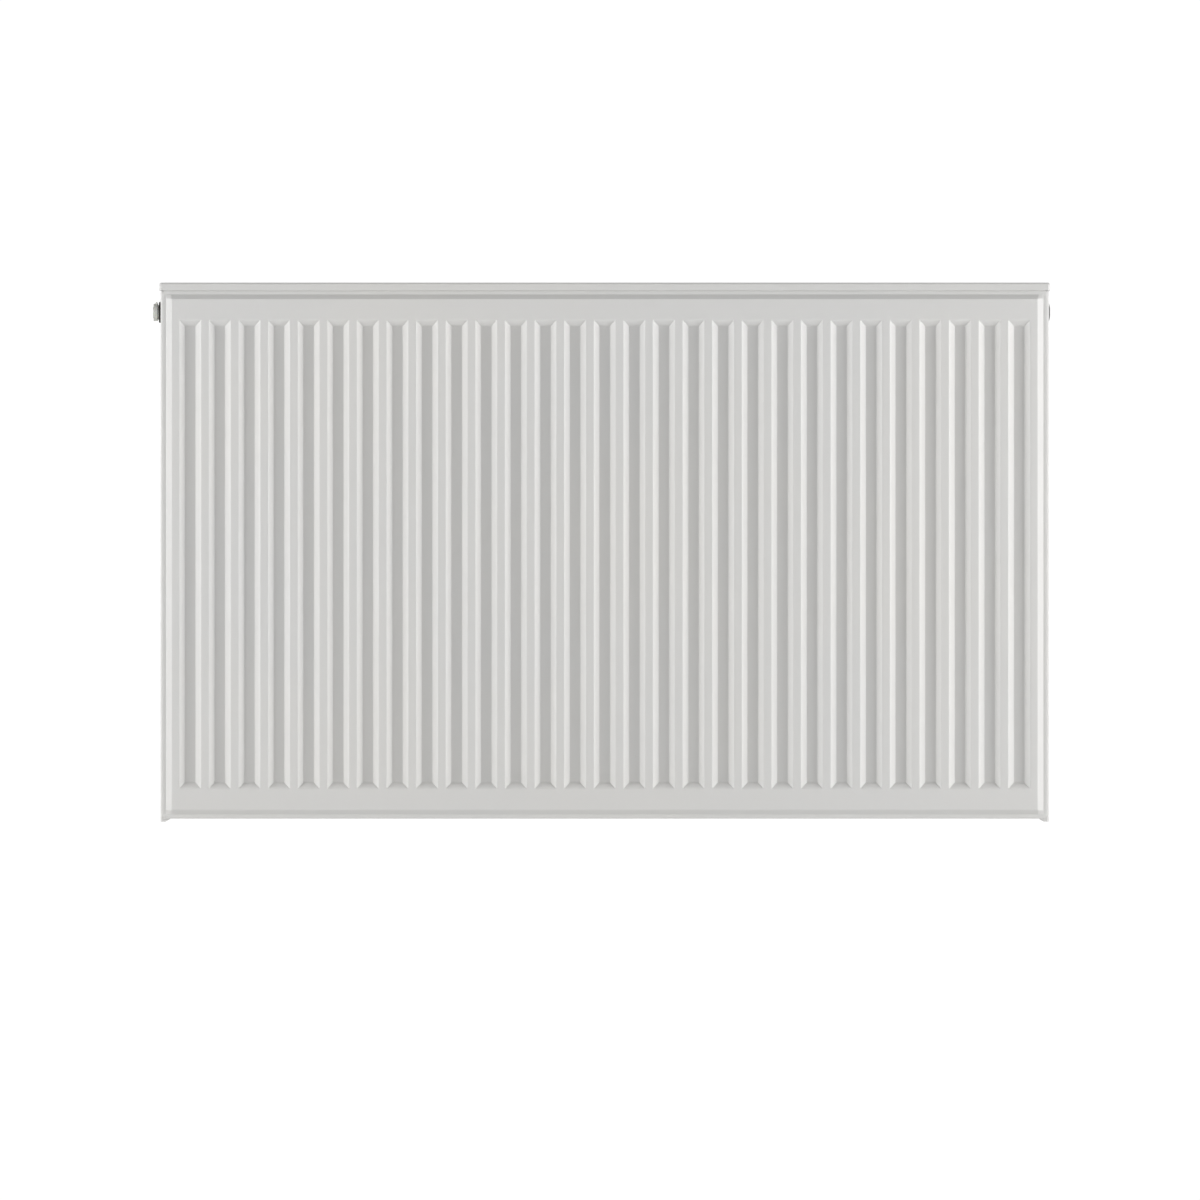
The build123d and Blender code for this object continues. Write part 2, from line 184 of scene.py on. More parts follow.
def makeMetal(name, settings):
    material, tree, shader = newMaterial(name)
    shader.inputs["Metallic"].default_value = 1.0
    stain = noiseOn(tree, metalGrain["stainScale"], 5, 0.6, y=300)
    tree.links.new(blendColours(tree, stain, settings["dark"], settings["light"]),
                   shader.inputs["Base Color"])
    lines = noiseOn(tree, settings["lineScale"], 3, 0.7, settings["stretch"])
    tree.links.new(spread(tree, lines, *settings["rough"]), shader.inputs["Roughness"])
    fine = noiseOn(tree, settings["lineScale"], 4, 0.7, settings["stretch"], -400)
    bumpFrom(tree, [(fine, metalGrain["lineDepth"])], shader, metalGrain["lineStrength"])
    return material


# moulded sealing rubber with a faint grey bloom
rubber = {
    "black": (0.010, 0.010, 0.009),
    "worn": (0.022, 0.022, 0.020),
    "rough": (0.42, 0.62),
    "specular": 0.2,
    "bloomScale": 900,
    "grainScale": 2600,
    "grainDepth": 0.00001,
}


def makeRubber(name, settings):
    material, tree, shader = newMaterial(name)
    bloom = noiseOn(tree, settings["bloomScale"], 5, 0.65, y=300)
    tree.links.new(blendColours(tree, bloom, settings["black"], settings["worn"]),
                   shader.inputs["Base Color"])
    tree.links.new(spread(tree, bloom, *settings["rough"]), shader.inputs["Roughness"])
    shader.inputs["Specular IOR Level"].default_value = settings["specular"]
    grain = noiseOn(tree, settings["grainScale"], 3, 0.6, y=-300)
    bumpFrom(tree, [(grain, settings["grainDepth"])], shader, 0.6)
    return material


# moulded white plastic, its flow marks drawn out upwards
plastic = {
    "white": (0.70, 0.71, 0.665),
    "shade": (0.66, 0.67, 0.63),
    "rough": (0.38, 0.5),
    "glow": 0.05,        # light that passes under the skin
    "glowDepth": 0.001,
    "flowScale": 220,
    "grainScale": 3200,
    "grainDepth": 0.000008,
}


def makePlastic(name, settings):
    material, tree, shader = newMaterial(name)
    flow = noiseOn(tree, settings["flowScale"], 3, 0.5, (1, 1, 3), 300)
    tree.links.new(blendColours(tree, flow, settings["white"], settings["shade"]),
                   shader.inputs["Base Color"])
    tree.links.new(spread(tree, flow, *settings["rough"]), shader.inputs["Roughness"])
    shader.inputs["Subsurface Weight"].default_value = settings["glow"]
    shader.inputs["Subsurface Scale"].default_value = settings["glowDepth"]
    grain = noiseOn(tree, settings["grainScale"], 2, 0.6, y=-300)
    bumpFrom(tree, [(grain, settings["grainDepth"])], shader, 0.6)
    return material


whiteEnamel = makeEnamel("whiteEnamel", enamel)
thinEnamel = makeEnamel("thinEnamel", enamel, peel=1.6, tone=0.94)
rivetPaint = makeEnamel("rivetPaint", enamel, peel=1.3, tone=0.98)
nickelPlate = makeMetal("nickelPlate", metals["nickel"])
# the plug's nickel carries painted shade: a darkened copy of the nickel plate
shadedPlugNickel = makeMetal("shadedPlugNickel", metals["shadedPlugNickel"])
turnedBrass = makeMetal("turnedBrass", metals["brass"])
springSteel = makeMetal("springSteel", metals["spring"])
sealRubber = makeRubber("sealRubber", rubber)
whitePlastic = makePlastic("whitePlastic", plastic)
print("materials made")


# geometry node helpers

def newTree(name, inputs):
    tree = bpy.data.node_groups.new(name, "GeometryNodeTree")
    for label, kind in inputs:
        tree.interface.new_socket(name=label, in_out="INPUT", socket_type="NodeSocket" + kind)
    tree.interface.new_socket(name="Geometry", in_out="OUTPUT", socket_type="NodeSocketGeometry")
    start = addNode(tree, "NodeGroupInput", -900, 0)
    end = addNode(tree, "NodeGroupOutput", 900, 0)
    return tree, start, end


def runTree(tree, name, values):
    # evaluates a tree on an empty object and keeps the result as a plain mesh
    holder = bpy.data.objects.new(name + "Holder", bpy.data.meshes.new(name + "Holder"))
    scene.collection.objects.link(holder)
    modifier = holder.modifiers.new("build", "NODES")
    modifier.node_group = tree
    for item in tree.interface.items_tree:
        if item.in_out == "INPUT":
            modifier[item.identifier] = values[item.name]
    depsgraph = bpy.context.evaluated_depsgraph_get()
    mesh = bpy.data.meshes.new_from_object(holder.evaluated_get(depsgraph))
    mesh.name = name
    bpy.data.objects.remove(holder)
    return mesh


def sourceObject(name, mesh):
    source = bpy.data.objects.new(name, mesh)
    scene.collection.objects.link(source)
    return source


# mesh helpers

def addPiece(name, mesh, body, slot, material, *replaced):
    if not mesh.materials:
        mesh.materials.append(material)
    piece = bpy.data.objects.new(name, mesh)
    scene.collection.objects.link(piece)
    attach(piece, body)
    if replaced:
        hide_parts(*replaced)


def bridge(work, first, second):
    # a band of faces between two closed loops of points
    count = len(first)
    for k in range(count):
        n = (k + 1) % count
        work.faces.new([first[k], first[n], second[n], second[k]])


def smoothMesh(work, name):
    bmesh.ops.remove_doubles(work, verts=work.verts, dist=0.001 * mm)
    bmesh.ops.recalc_face_normals(work, faces=work.faces)
    mesh = bpy.data.meshes.new(name)
    work.to_mesh(mesh)
    work.free()
    for polygon in mesh.polygons:
        polygon.use_smooth = True
    return mesh


def plainMesh(work, name):
    mesh = bpy.data.meshes.new(name)
    work.to_mesh(mesh)
    work.free()
    return mesh


def faceOutward(mesh):
    work = bmesh.new()
    work.from_mesh(mesh)
    bmesh.ops.recalc_face_normals(work, faces=work.faces)
    work.to_mesh(mesh)
    work.free()


def finishMesh(mesh, name, steps):
    # runs modifiers over a mesh: each step is (kind, settings)
    holder = bpy.data.objects.new(name + "Holder", mesh)
    scene.collection.objects.link(holder)
    for kind, settings in steps:
        modifier = holder.modifiers.new(kind.lower(), kind)
        for key, value in settings.items():
            setattr(modifier, key, value)
    depsgraph = bpy.context.evaluated_depsgraph_get()
    done = bpy.data.meshes.new_from_object(holder.evaluated_get(depsgraph))
    done.name = name
    bpy.data.objects.remove(holder)
    bpy.data.meshes.remove(mesh)
    return done


def roundedEdges(width, angle):
    # a small bevel where faces meet at more than this many degrees
    return ("BEVEL", {"width": width, "segments": 2, "limit_method": "ANGLE",
                      "angle_limit": math.radians(angle)})


flatFacesFirst = ("WEIGHTED_NORMAL", {"mode": "FACE_AREA", "weight": 80, "keep_sharp": False})


# the two outer sheets: a mitred border, a raised face and a row of upright pressed grooves
pressing = {
    "pitch": 100 / 3 * mm,
    "sheet": 1.25 * mm,
    "flangeEdge": 4.9 * mm,
    "flangeEnd": 4.8 * mm,
    "borderRunEdge": 5.2 * mm,
    "borderRunEnd": 6.2 * mm,
    "grooveFloor": 12.0 * mm,
    "grooveRun": 6.2 * mm,
    "grooveEndRun": 6.8 * mm,
    "grooveMargin": 33.8 * mm,
    "cornerCut": 3.5 * mm,
    "crestBend": 0.15,     # share of a slope taken by the bend at its front end
    "floorBend": 0.08,     # and at its back end
    "cornerSoftness": 0.25,    # of the border's mitred corners
    "floorLine": 0.4,      # share of half the groove floor, where a mesh line runs
    "middleRows": 5,
}


# the inner sheets: wider end flanges for the side covers, shorter grooves clear of the tees
innerPressing = dict(pressing, flangeEnd=8.8 * mm, grooveMargin=44.0 * mm, middleRows=3)


def bentRamp(t, first, last):
    # 0 to 1 with a round bend at both ends
    if t <= -first:
        return 0.0
    if t < first:
        return (t + first) ** 2 / (4 * first)
    if t <= 1 - last:
        return t
    if t < 1 + last:
        return 1 - (1 - t + last) ** 2 / (4 * last)
    return 1.0


def softMin(a, b, width):
    h = max(width - abs(a - b), 0.0) / width
    return min(a, b) - h * h * width / 4


def bendLines(start, run, first, last):
    # places across a slope where its bends need mesh lines
    turns = (-1, -0.33, 0.33, 1)
    near = [start + turn * first * run for turn in turns]
    return near + [start + (1 + turn * last) * run for turn in turns]


def pressedSheet(name, node, outward, settings):
    low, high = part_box(node)
    s = settings
    crest = s["crestBend"]
    dip = s["floorBend"]
    depth = (high.y - low.y) - s["sheet"]
    weldY = low.y if outward > 0 else high.y
    halfLength = high.x
    grooves = round(2 * halfLength / s["pitch"]) - 1
    firstRidge = -grooves * s["pitch"] / 2
    grooveHalf = s["grooveFloor"] / 2 + s["grooveRun"]

    def raised(x, z):
        endwise = (halfLength - s["flangeEnd"] - abs(x)) / s["borderRunEnd"]
        edgewise = (min(z - low.z, high.z - z) - s["flangeEdge"]) / s["borderRunEdge"]
        border = bentRamp(softMin(endwise, edgewise, s["cornerSoftness"]), dip, crest)
        if abs(x) > -firstRidge:
            return depth * border
        middle = (x - firstRidge) % s["pitch"] - s["pitch"] / 2
        across = (grooveHalf - abs(middle)) / s["grooveRun"]
        along = (min(z - low.z, high.z - z) - s["grooveMargin"]) / s["grooveEndRun"]
        groove = bentRamp(min(across, along), crest, dip)
        return depth * (border - groove)

    lower = [0, s["cornerCut"]]
    lower += bendLines(s["flangeEdge"], s["borderRunEdge"], dip, crest)
    lower += [0.5 * (s["flangeEdge"] + s["borderRunEdge"] + s["grooveMargin"])]
    lower += bendLines(s["grooveMargin"], s["grooveEndRun"], crest, dip)
    height = high.z - low.z
    reach = lower[-1]
    middles = [reach + (height - 2 * reach) * (i + 1) / (s["middleRows"] + 1)
               for i in range(s["middleRows"])]
    rows = [low.z + v for v in lower + middles] + [high.z - v for v in reversed(lower)]
    halfLines = [0, s["floorLine"] * s["grooveFloor"] / 2]
    halfLines += bendLines(s["grooveFloor"] / 2, s["grooveRun"], dip, crest)
    cellLines = [-v for v in reversed(halfLines[1:])] + halfLines
    cellLines = [-s["pitch"] / 2] + cellLines + [s["pitch"] / 2]
    endLines = [0, s["cornerCut"]] + bendLines(s["flangeEnd"], s["borderRunEnd"], dip, crest)
    endLines.append(halfLength + firstRidge)

    def addPatch(work, corners):
        # a groove's mitre runs across its patch: two triangles with a sharp edge between them
        sunk = [outward * (one.co.y + other.co.y) for one, other in zip(corners, corners[2:])]
        inGroove = abs(corners[0].co.x) < -firstRidge
        if len(corners) == 4 and inGroove and abs(sunk[0] - sunk[1]) > 0.01 * mm:
            k = 0 if sunk[0] < sunk[1] else 1
            work.faces.new(corners[k:k + 3])
            work.faces.new([corners[k + 2], corners[(k + 3) % 4], corners[k]])
            work.edges.get([corners[k], corners[k + 2]]).smooth = False
        else:
            work.faces.new(corners)

    def strip(columns, closedAt=None):
        # front and back skins over some columns, closed along top and bottom and at one end
        work = bmesh.new()
        skins = []
        for back in (0.0, s["sheet"]):
            skins.append([[work.verts.new((x, weldY + outward * (s["sheet"] + raised(x, z) - back), z))
                           for z in rows] for x in columns])
        lastRow = len(rows) - 1
        cut = {(closedAt, 0), (closedAt, lastRow)} if closedAt is not None else set()
        for skin in skins:
            for i in range(len(columns) - 1):
                for j in range(lastRow):
                    corners = [(i, j), (i + 1, j), (i + 1, j + 1), (i, j + 1)]
                    addPatch(work, [skin[a][b] for a, b in corners if (a, b) not in cut])
        front, rear = skins
        for j in (0, lastRow):
            for i in range(len(columns) - 1):
                if (i, j) in cut or (i + 1, j) in cut:
                    continue
                work.faces.new([front[i][j], front[i + 1][j], rear[i + 1][j], rear[i][j]])
        if closedAt is not None:
            beside = 1 if closedAt == 0 else closedAt - 1
            rim = [(beside, 0)] + [(closedAt, j) for j in range(1, lastRow)] + [(beside, lastRow)]
            for (a, b), (c, d) in zip(rim, rim[1:]):
                work.faces.new([front[a][b], front[c][d], rear[c][d], rear[a][b]])
            for a, b in cut:
                work.verts.remove(front[a][b])
                work.verts.remove(rear[a][b])
        return work

    cellColumns = [firstRidge + s["pitch"] / 2 + v for v in cellLines]
    leftColumns = [v - halfLength for v in endLines]
    rightColumns = [halfLength - v for v in reversed(endLines)]
    cell = sourceObject(name + "Cell", plainMesh(strip(cellColumns), name + "Cell"))
    leftEnd = sourceObject(name + "LeftEnd", plainMesh(strip(leftColumns, 0), name + "LeftEnd"))
    rightEnd = sourceObject(name + "RightEnd", plainMesh(strip(rightColumns, len(rightColumns) - 1),
                                                         name + "RightEnd"))
    mesh = runTree(rowTree, name, {
        "Repeat": cell, "Left End": leftEnd, "Right End": rightEnd, "Count": grooves,
        "Pitch": s["pitch"], "Merge": mergeWithin, "Finish": whiteEnamel})
    for source in (cell, leftEnd, rightEnd):
        bpy.data.objects.remove(source)
    faceOutward(mesh)
    mesh = finishMesh(mesh, name, [("WEIGHTED_NORMAL", dict(flatFacesFirst[1], keep_sharp=True))])
    addPiece(name, mesh, "radiator", "white_enamel", whiteEnamel, node)


def makeRowTree():
    # repeats one stretch of sheet along X and closes the row with its two ends
    tree, start, end = newTree("sheetRow", [
        ("Repeat", "Object"), ("Left End", "Object"), ("Right End", "Object"), ("Count", "Int"),
        ("Pitch", "Float"), ("Merge", "Float"), ("Finish", "Material")])
    link = tree.links.new
    offset = addNode(tree, "ShaderNodeCombineXYZ", -700, -200)
    line = addNode(tree, "GeometryNodeMeshLine", -500, 0, mode="OFFSET")
    cell = addNode(tree, "GeometryNodeObjectInfo", -500, -300)
    place = addNode(tree, "GeometryNodeInstanceOnPoints", -250, 0)
    realize = addNode(tree, "GeometryNodeRealizeInstances", 0, 0)
    join = addNode(tree, "GeometryNodeJoinGeometry", 200, 0)
    merge = addNode(tree, "GeometryNodeMergeByDistance", 400, 0)
    smooth = addNode(tree, "GeometryNodeSetShadeSmooth", 550, 0)
    finish = addNode(tree, "GeometryNodeSetMaterial", 700, 0)
    link(start.outputs["Pitch"], offset.inputs["X"])
    link(offset.outputs["Vector"], line.inputs["Offset"])
    link(start.outputs["Count"], line.inputs["Count"])
    link(start.outputs["Repeat"], cell.inputs["Object"])
    link(line.outputs["Mesh"], place.inputs["Points"])
    link(cell.outputs["Geometry"], place.inputs["Instance"])
    link(place.outputs["Instances"], realize.inputs["Geometry"])
    link(realize.outputs["Geometry"], join.inputs["Geometry"])
    for label in ("Left End", "Right End"):
        info = addNode(tree, "GeometryNodeObjectInfo", -250, -500)
        link(start.outputs[label], info.inputs["Object"])
        link(info.outputs["Geometry"], join.inputs["Geometry"])
    link(join.outputs["Geometry"], merge.inputs["Geometry"])
    link(start.outputs["Merge"], merge.inputs["Distance"])
    link(merge.outputs["Geometry"], smooth.inputs["Geometry"])
    link(smooth.outputs["Geometry"], finish.inputs["Geometry"])
    link(start.outputs["Finish"], finish.inputs["Material"])
    link(finish.outputs["Geometry"], end.inputs["Geometry"])
    return tree


rowTree = makeRowTree()
pressedSheet("frontSheet", "front_outer_sheet", -1, pressing)
pressedSheet("rearSheet", "rear_outer_sheet", 1, pressing)
pressedSheet("frontInnerSheet", "front_inner_sheet", 1, innerPressing)
pressedSheet("rearInnerSheet", "rear_inner_sheet", -1, innerPressing)
print("four sheets pressed")


# convectors: one fin period of thin bent sheet, repeated along the panel
fins = {"sheet": 0.5 * mm, "flat": 9.0 * mm, "draft": 3.0 * mm, "bend": 1.3 * mm, "bendSteps": 4}


def roundedPath(corners, steps=4, closed=False):
    # corners: (u, v, bend radius); each bend becomes an arc of a few points
    count = len(corners)
    points = []
    for index, (u, v, radius) in enumerate(corners):
        here = Vector((u, v))
        atEnd = not closed and index in (0, count - 1)
        if atEnd or radius <= 0:
            points.append(here)
            continue
        before = (Vector(corners[index - 1][:2]) - here).normalized()
        after = (Vector(corners[(index + 1) % count][:2]) - here).normalized()
        half = before.angle(after) / 2
        if half > math.radians(89):
            points.append(here)
            continue
        bisector = (before + after).normalized()
        centre = here + bisector * (radius / math.sin(half))
        start = here + before * (radius / math.tan(half)) - centre
        finish = here + after * (radius / math.tan(half)) - centre
        turn = math.copysign(math.pi - 2 * half, start.x * finish.y - start.y * finish.x)
        for step in range(steps + 1):
            angle = turn * step / steps
            c, s = math.cos(angle), math.sin(angle)
            points.append(centre + Vector((c * start.x - s * start.y, s * start.x + c * start.y)))
    return points


def ribbon(path, thickness, place):
    # a strip of sheet along a path, closed all round; place(u, v, end) gives a point, end 0 or 1
    work = bmesh.new()
    sides = []
    for offset in (-thickness / 2, thickness / 2):
        side = []
        for index, point in enumerate(path):
            ahead = path[min(index + 1, len(path) - 1)] - point
            behind = point - path[max(index - 1, 0)]
            along = (ahead.normalized() + behind.normalized()).normalized()
            bend = ahead.normalized().dot(along) if ahead.length else 1
            normal = Vector((-along.y, along.x)) / max(bend, 0.5)
            at = point + normal * offset
            side.append([work.verts.new(place(at.x, at.y, end)) for end in (0, 1)])
        sides.append(side)
    first, second = sides
    for i in range(len(path) - 1):
        work.faces.new([first[i][0], first[i + 1][0], first[i + 1][1], first[i][1]])
        work.faces.new([second[i][0], second[i][1], second[i + 1][1], second[i + 1][0]])
        for end in (0, 1):
            work.faces.new([first[i][end], second[i][end], second[i + 1][end], first[i + 1][end]])
    return work


def makeConvector(name, node, backward, settings):
    low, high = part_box(node)
    s = settings
    pitch = pressing["pitch"]
    weldY = high.y if backward else low.y
    outward = -1 if backward else 1
    near = s["sheet"] / 2
    far = (high.y - low.y) - s["sheet"] / 2
    firstX = low.x + s["flat"] / 2
    count = round((high.x - low.x - s["flat"]) / pitch)
    half = s["flat"] / 2

    def place(u, v, end):
        return (u, weldY + outward * v, (low.z, high.z)[end])

    crest = s["bend"]
    period = [(0, near, 0), (half, near, crest), (half + s["draft"], far, crest),
              (pitch - half - s["draft"], far, crest), (pitch - half, near, crest), (pitch, near, 0)]
    period = [(firstX + u, v, r) for u, v, r in period]
    leftFlat = [(low.x, near, 0), (firstX, near, 0)]
    rightFlat = [(high.x - half, near, 0), (high.x, near, 0)]
    parts = {}
    for label, corners in (("Repeat", period), ("Left End", leftFlat), ("Right End", rightFlat)):
        path = roundedPath(corners, s["bendSteps"])
        stretch = plainMesh(ribbon(path, s["sheet"], place), name + label)
        parts[label] = sourceObject(name + label, stretch)
    mesh = runTree(rowTree, name, {**parts, "Count": count, "Pitch": pitch, "Merge": mergeWithin,
                                   "Finish": thinEnamel})
    for part in parts.values():
        bpy.data.objects.remove(part)
    # the ends of two stretches that meet leave a face inside the sheet
    work = bmesh.new()
    work.from_mesh(mesh)
    endArea = 1.2 * s["sheet"] * (high.z - low.z)
    inner = [face for face in work.faces if len(face.edges[0].link_faces) > 2
             and abs(face.normal.x) > 0.99 and face.calc_area() < endArea]
    bmesh.ops.delete(work, geom=inner, context="FACES_ONLY")
    bmesh.ops.recalc_face_normals(work, faces=work.faces)
    work.to_mesh(mesh)
    work.free()
    mesh = finishMesh(mesh, name, [flatFacesFirst])
    addPiece(name, mesh, "radiator", "convector_enamel", thinEnamel, node)


makeConvector("frontFins", "front_convector", False, fins)
makeConvector("rearFins", "rear_convector", True, fins)
print("convectors bent")


# turned and moulded fittings, drawn in mm as (along, radius, rounding) outwards from a tapping's face
fitting = {
    "steps": 72,
    "ventSeal": [(0, 8.4, 0.1), (0, 11.8, 0.93), (1.3, 11.8, 0.2), (1.55, 11.55, 0.2), (1.8, 11.8, 0.2),
                 (3.1, 11.8, 0.93), (3.1, 8.4, 0.1)],
    "ventBody": [(-11, 9.45, 0.5), (0, 9.45, 0), (0, 8.4, 0), (4.2, 8.4, 0.3), (4.2, 6.0, 0.1),
                 (9.4, 6.0, 0.05), (9.4, 6.5, 0.12), (9.75, 6.5, 0.2), (9.75, 4.6, 0.15),
                 (3.1, 4.6, 0.3), (3.1, 3.05, 0.15), (-7.9, 3.05, 0), (-7.9, 2.9, 0), (-11, 2.9, 0.3)],
    "spout": [(4.3, 6.05, 0.2), (4.3, 9.75, 0.8), (9.3, 9.75, 0.8), (9.3, 6.05, 0.3)],
    "nozzlePlace": 5.8,
    "nozzleSteps": 24,
    "nozzle": [(9.0, 1.9, 0), (9.6, 1.9, 0.35), (10.1, 0.95, 0.5), (11.65, 0.9, 0.14),
               (11.65, 0.45, 0.1), (9.0, 0.45, 0)],
}
plug = {
    "headRadius": 11.35 * mm,
    "rimHeight": 1.0 * mm,
    "dome": 2.0 * mm,
    "keyFlats": 8.0 * mm,
    "keyDepth": 4.0 * mm,
    "keyChamfer": 0.35 * mm,
    "edgeRun": 0.35 * mm,        # where the dome turns down into the rim
    "footChamfer": 0.3 * mm,
    "shankRadius": 9.45 * mm,
    "shankLength": 10.0 * mm,
    "shankChamfer": 0.5 * mm,
    "edgeRound": 0.12 * mm,
    "cornerAngle": 40,
    "rings": 9,
    "steps": 72,
}


def teeBox(side, level):
    # side -1 or 1, level "upper" or "lower"
    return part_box("tee_" + level + ("_left" if side < 0 else "_right"))


def tapping(side, level):
    # face centre of a tapping
    low, high = teeBox(side, level)
    faceX = low.x if side < 0 else high.x
    return Vector((faceX, (low.y + high.y) / 2, (low.z + high.z) / 2))


def spin(work, outline, steps, place):
    # turns an outline of (along, radius) points about a line; place(along, radius, angle) gives a point
    rings = [[work.verts.new(place(along, radius, 2 * math.pi * k / steps)) for k in range(steps)]
             for along, radius in outline]
    for i, ring in enumerate(rings):
        bridge(work, ring, rings[(i + 1) % len(rings)])


def outlineInMetres(profile, steps=5):
    return [(p.x * mm, p.y * mm) for p in roundedPath(profile, steps, closed=True)]


def aboutTapping(centre, side):
    def place(along, radius, angle):
        return centre + Vector((side * along, radius * math.cos(angle), radius * math.sin(angle)))
    return place


def turned(name, node, body, slot, material, profile, centre, side):
    work = bmesh.new()
    spin(work, outlineInMetres(profile), fitting["steps"], aboutTapping(centre, side))
    mesh = finishMesh(smoothMesh(work, name), name, [flatFacesFirst])
    addPiece(name, mesh, body, slot, material, node)


def makeSpout(centre, side):
    # the turning ring and its nozzle, flared where it grows out of the ring
    work = bmesh.new()
    spin(work, outlineInMetres(fitting["spout"]), fitting["steps"], aboutTapping(centre, side))
    nozzleX = centre.x + side * fitting["nozzlePlace"] * mm

    def place(along, radius, angle):
        x = nozzleX + radius * math.cos(angle)
        y = centre.y + radius * math.sin(angle)
        return Vector((x, y, centre.z + along))

    spin(work, outlineInMetres(fitting["nozzle"]), fitting["nozzleSteps"], place)
    mesh = finishMesh(smoothMesh(work, "spout"), "spout", [flatFacesFirst])
    addPiece("spout", mesh, "vent_spout", "white_plastic", whitePlastic, "vent_spout")


def makeBlankPlug(centre, settings):
    # domed head with a hexagon key socket
    s = settings
    work = bmesh.new()
    ballRadius = (s["headRadius"] ** 2 + s["dome"] ** 2) / (2 * s["dome"])
    top = s["rimHeight"] + s["dome"]

    def hexRadius(angle, flats):
        sixth = math.pi / 3
        return flats / 2 / math.cos((angle % sixth) - sixth / 2)

    def domeHeight(radius):
        return top - ballRadius + math.sqrt(ballRadius ** 2 - radius ** 2)

    def ring(height, radiusAt):
        points = []
        for k in range(s["steps"]):
            angle = 2 * math.pi * k / s["steps"]
            radius = radiusAt(angle)
            along = domeHeight(radius) if height is None else height
            points.append(work.verts.new(aboutTapping(centre, 1)(along, radius, angle)))
        return points

    def blend(share):
        wide = s["headRadius"] - s["edgeRun"]
        mouth = s["keyFlats"] + 2 * s["keyChamfer"]
        return lambda angle: hexRadius(angle, mouth) * (1 - share) + wide * share

    rings = [ring(top - s["keyDepth"], lambda angle: hexRadius(angle, s["keyFlats"])),
             ring(top - 3 * s["keyChamfer"], lambda angle: hexRadius(angle, s["keyFlats"]))]
    rings += [ring(None, blend((i / s["rings"]) ** 0.8)) for i in range(s["rings"] + 1)]
    rim = s["headRadius"]
    shank = s["shankRadius"]
    rings += [ring(s["rimHeight"] + 0.02 * mm, lambda angle: rim), ring(0.35 * mm, lambda angle: rim),
              ring(0.0, lambda angle: rim - s["footChamfer"]), ring(0.0, lambda angle: shank),
              ring(-s["shankLength"] + s["shankChamfer"], lambda angle: shank),
              ring(-s["shankLength"], lambda angle: shank - s["shankChamfer"])]
    for lower, upper in zip(rings, rings[1:]):
        bridge(work, lower, upper)
    work.faces.new(rings[0])
    work.faces.new(rings[-1])
    edges = roundedEdges(s["edgeRound"], s["cornerAngle"])
    mesh = finishMesh(smoothMesh(work, "blankPlug"), "blankPlug", [edges, flatFacesFirst])
    # the plug gets the darkened nickel, which is painted shade
    addPiece("blankPlug", mesh, "radiator", "nickel", shadedPlugNickel, "blank_plug")


upperLeft = tapping(-1, "upper")
turned("ventSeal", "vent_seal", "radiator", "black_rubber", sealRubber,
       fitting["ventSeal"], upperLeft, -1)
turned("ventBody", "vent_body", "radiator", "nickel", nickelPlate,
       fitting["ventBody"], upperLeft, -1)
makeSpout(upperLeft, -1)
makeBlankPlug(tapping(1, "upper"), plug)
print("vent and plug turned")


# bent and turned parts that keep their CAD outline and get soft edges
softening = {"flatWithin": 0.3, "cornerAngle": 32}    # degrees


def softCopy(name, node, body, slot, material, width):
    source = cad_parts[node]
    work = bmesh.new()
    work.from_mesh(source.data)
    work.transform(source.matrix_world)
    bmesh.ops.remove_doubles(work, verts=work.verts, dist=mergeWithin)
    flat = math.radians(softening["flatWithin"])
    bmesh.ops.dissolve_limit(work, angle_limit=flat, verts=work.verts, edges=work.edges)
    edges = roundedEdges(width, softening["cornerAngle"])
    mesh = finishMesh(smoothMesh(work, name), name, [edges, flatFacesFirst])
    addPiece(name, mesh, body, slot, material, node)


softened = {
    # piece: node, body, slot, material, edge rounding in mm
    "sidePanelLeft": ("side_panel_left", "side_panel_left", "white_enamel", whiteEnamel, 0.3),
    "sidePanelRight": ("side_panel_right", "side_panel_right", "white_enamel", whiteEnamel, 0.3),
    "sideClipLeft": ("side_clip_left", "side_panel_left", "spring_steel", springSteel, 0.08),
    "sideClipRight": ("side_clip_right", "side_panel_right", "spring_steel", springSteel, 0.08),
    "sideRivetLeft": ("side_rivet_left", "side_panel_left", "rivet_paint", rivetPaint, 0.12),
    "sideRivetRight": ("side_rivet_right", "side_panel_right", "rivet_paint", rivetPaint, 0.12),
    "lugUpperLeft": ("lug_upper_left", "radiator", "white_enamel", whiteEnamel, 0.4),
    "lugUpperRight": ("lug_upper_right", "radiator", "white_enamel", whiteEnamel, 0.4),
    "lugLowerLeft": ("lug_lower_left", "radiator", "white_enamel", whiteEnamel, 0.4),
    "lugLowerRight": ("lug_lower_right", "radiator", "white_enamel", whiteEnamel, 0.4),
    "spacerLeft": ("spacer_left", "radiator", "convector_enamel", thinEnamel, 0.25),
    "spacerRight": ("spacer_right", "radiator", "convector_enamel", thinEnamel, 0.25),
    "teeUpperLeft": ("tee_upper_left", "radiator", "white_enamel", whiteEnamel, 0.3),
    "teeUpperRight": ("tee_upper_right", "radiator", "white_enamel", whiteEnamel, 0.3),
    "teeLowerLeft": ("tee_lower_left", "radiator", "white_enamel", whiteEnamel, 0.3),
    "teeLowerRight": ("tee_lower_right", "radiator", "white_enamel", whiteEnamel, 0.3),
    "grilleClips": ("grille_clips", "top_grille", "spring_steel", springSteel, 0.1),
    "bleedKey": ("bleed_screw", "bleed_screw", "brass", turnedBrass, 0.25),
}
for pieceName, (node, body, slot, material, width) in softened.items():
    softCopy(pieceName, node, body, slot, material, width * mm)
print("sheet metal parts softened")


